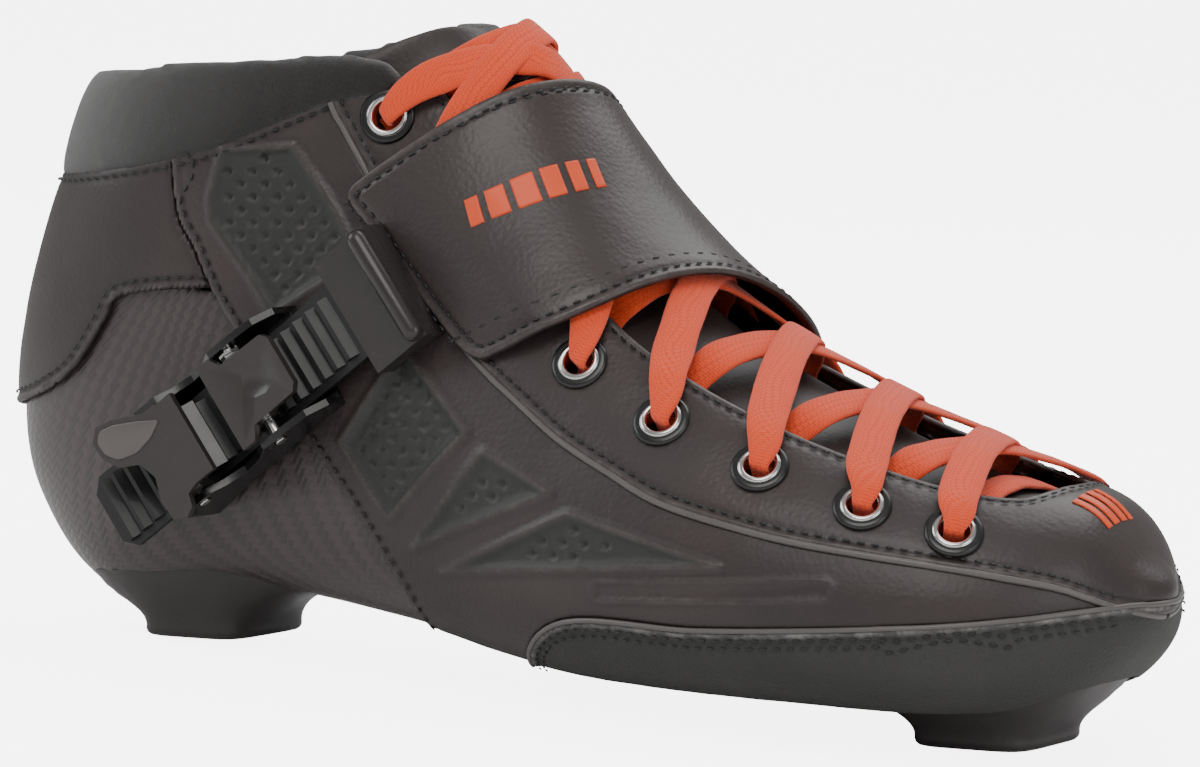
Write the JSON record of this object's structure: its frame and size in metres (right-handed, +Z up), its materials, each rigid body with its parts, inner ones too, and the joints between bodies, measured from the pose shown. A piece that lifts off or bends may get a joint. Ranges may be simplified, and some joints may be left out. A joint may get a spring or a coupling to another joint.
{
  "type": "inline speed skating boot",
  "caption": "Low-cut right-foot speed skating boot with carbon cup, laced upper, instep strap with ladder and ratchet buckle, and two frame mounting blocks.",
  "frame": {"origin": "centre of the bounding box in plan, at the height of the front mounting face", "axes": "+X towards the toe, +Z up in the skating position, -Y the lateral (outer) side of a right boot"},
  "size_m": [0.2834, 0.099, 0.1531],
  "materials": {
    "carbon": "twill weave under worn satin lacquer",
    "block_carbon": "moulded carbon, satin",
    "lining_fabric": "soft knit",
    "insole_foam": "foam with a fabric top",
    "vamp_leather": "satin, lightly grained",
    "quarter_leather": "satin, lightly grained, embossed",
    "counter_leather": "satin, lightly grained",
    "tongue_leather": "satin, padded",
    "strap_leather": "satin, stitched edge",
    "rand_rubber": "matt, grained",
    "collar_fleece": "brushed fleece over foam",
    "lace_orange": "flat weave",
    "eyelet_metal": "black outer ring, bright inner ring",
    "steel": "plain",
    "spring_steel": "drawn wire",
    "black_plastic": "polished nylon",
    "lever_plastic": "satin on top, polished edges"
  },
  "bodies": {
    "boot": {"carbon_shell": "carbon", "lining": "lining_fabric", "insole": "insole_foam", "vamp": "vamp_leather", "lateral_quarter": "quarter_leather", "medial_quarter": "quarter_leather", "heel_counter": "counter_leather", "toe_rand": "rand_rubber", "collar_pad": "collar_fleece", "rear_mount_block": "block_carbon", "rear_threaded_insert": "steel", "front_mount_block": "block_carbon", "front_threaded_insert": "steel", "eyelet_lateral_1": "eyelet_metal", "eyelet_lateral_2": "eyelet_metal", "eyelet_lateral_3": "eyelet_metal", "eyelet_lateral_4": "eyelet_metal", "eyelet_lateral_5": "eyelet_metal", "eyelet_lateral_6": "eyelet_metal", "eyelet_lateral_7": "eyelet_metal", "eyelet_lateral_8": "eyelet_metal", "eyelet_medial_1": "eyelet_metal", "eyelet_medial_2": "eyelet_metal", "eyelet_medial_3": "eyelet_metal", "eyelet_medial_4": "eyelet_metal", "eyelet_medial_5": "eyelet_metal", "eyelet_medial_6": "eyelet_metal", "eyelet_medial_7": "eyelet_metal", "eyelet_medial_8": "eyelet_metal", "lace": "lace_orange", "power_strap": "strap_leather", "strap_rivet_1": "steel", "strap_rivet_2": "steel", "buckle_base": "black_plastic", "buckle_rivet_1": "steel", "buckle_rivet_2": "steel", "lever_axle": "steel", "pawl_axle": "steel", "release_pawl_spring": "spring_steel", "drive_pawl_spring": "spring_steel"},
    "tongue": {"tongue": "tongue_leather"},
    "tightening_strap": {"ladder_strap": "black_plastic", "strap_connector_base": "black_plastic", "strap_connector_cap": "black_plastic"},
    "drive_lever": {"drive_lever": "lever_plastic"},
    "drive_pawl": {"drive_pawl": "lever_plastic"},
    "release_pawl": {"release_pawl": "lever_plastic"}
  },
  "joints": [
    {"name": "tongue_flex", "type": "hinge", "parent": "boot", "child": "tongue", "pos_m": [0.1054, 0.0026, 0.045], "axis": [0, -1, 0], "range_deg": [0, 3.5], "stiffness_Nm_per_rad": 5, "springref_deg": -2.86},
    {"name": "strap_slide", "type": "slide", "parent": "boot", "child": "tightening_strap", "axis": [0.809, 0, 0.5878], "range_m": [0, 0.012], "deforming": ["power_strap"]},
    {"name": "lever_turn", "type": "hinge", "parent": "boot", "child": "drive_lever", "pos_m": [-0.07277, -0.04392, 0.05654], "axis": [-0.5878, 0, 0.809], "range_deg": [0, 35], "stiffness_Nm_per_rad": 0.02, "springref_deg": -17.19},
    {"name": "drive_pawl_lift", "type": "hinge", "parent": "boot", "child": "drive_pawl", "pos_m": [-0.07277, -0.04392, 0.05654], "axis": [0.5878, 0, -0.809], "range_deg": [0, 6], "stiffness_Nm_per_rad": 0.02, "springref_deg": -17.19},
    {"name": "release_press", "type": "hinge", "parent": "boot", "child": "release_pawl", "pos_m": [-0.05343, -0.04331, 0.07058], "axis": [-0.5878, 0, 0.809], "range_deg": [0, 10], "stiffness_Nm_per_rad": 0.02, "springref_deg": -17.19}
  ]
}
